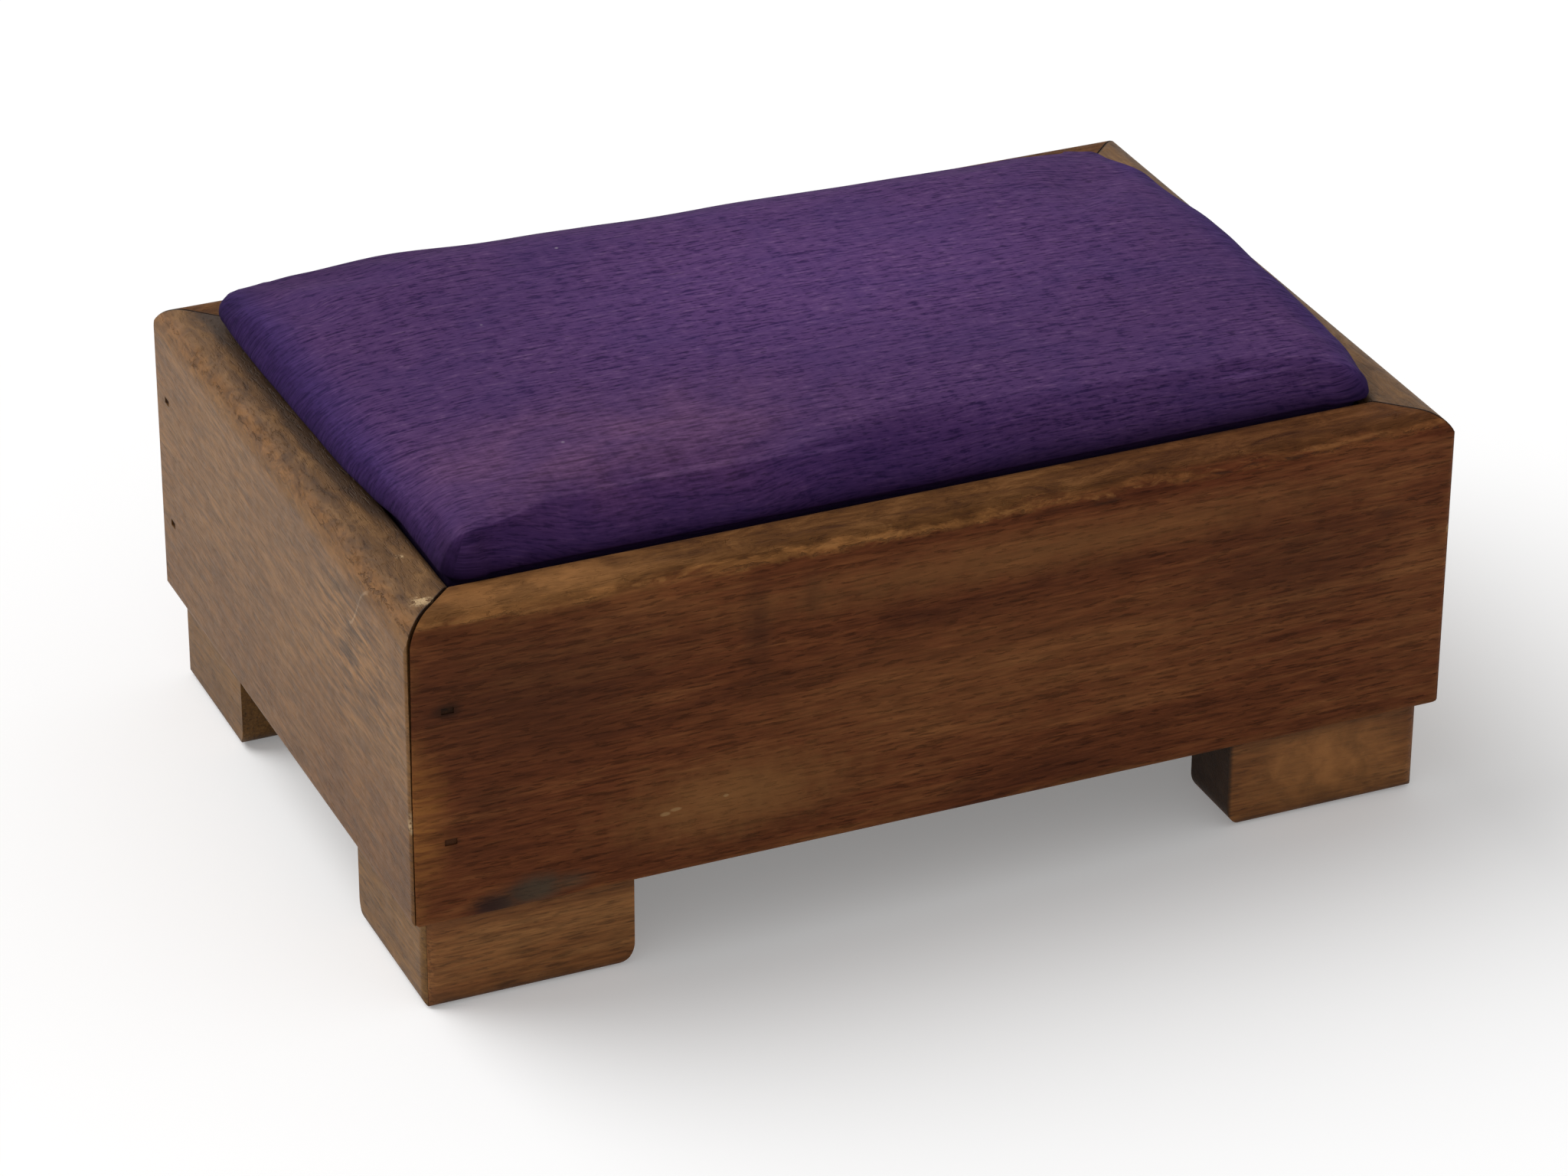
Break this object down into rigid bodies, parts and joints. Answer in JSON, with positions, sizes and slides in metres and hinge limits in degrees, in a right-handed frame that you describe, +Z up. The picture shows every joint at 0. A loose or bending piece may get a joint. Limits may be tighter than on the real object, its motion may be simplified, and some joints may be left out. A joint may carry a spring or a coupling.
{
  "type": "footstool",
  "caption": "Low box footstool of mitred stained boards on bracket feet, with a fabric-covered padded seat that drops in between the boards and lifts out.",
  "frame": {"origin": "centre of the footprint, on the floor", "axes": "+X along the stool's length, +Y to the back, +Z up; the front long side faces -Y"},
  "size_m": [0.35, 0.238, 0.1525],
  "materials": {
    "rail_wood": "dark stain, worn to a golden brown on the edges",
    "foot_wood": "stained, dull",
    "inner_wood": "bare softwood",
    "plywood": "bare plywood",
    "stuffing": "matted fibre",
    "seat_fabric": "ribbed purple weave, slightly faded",
    "nail_iron": "dark, rusted",
    "tack_steel": "blued"
  },
  "bodies": {
    "frame": {"front_rail": "rail_wood", "right_rail": "rail_wood", "back_rail": "rail_wood", "left_rail": "rail_wood", "foot_front_left_long": "foot_wood", "foot_front_left_short": "foot_wood", "foot_front_right_long": "foot_wood", "foot_front_right_short": "foot_wood", "foot_back_right_long": "foot_wood", "foot_back_right_short": "foot_wood", "foot_back_left_long": "foot_wood", "foot_back_left_short": "foot_wood", "corner_block_front_left": "inner_wood", "corner_block_front_right": "inner_wood", "corner_block_back_right": "inner_wood", "corner_block_back_left": "inner_wood", "front_cleat": "inner_wood", "right_cleat": "inner_wood", "back_cleat": "inner_wood", "left_cleat": "inner_wood", "mitre_nails": "nail_iron", "foot_nails": "nail_iron", "cleat_nails": "nail_iron"},
    "seat": {"seat_board": "plywood", "seat_padding": "stuffing", "seat_cover": "seat_fabric", "cover_tacks": "tack_steel"}
  },
  "joints": [
    {"name": "seat_lift", "type": "slide", "parent": "frame", "child": "seat", "axis": [0, 0, 1], "range_m": [0, 0.045]}
  ]
}
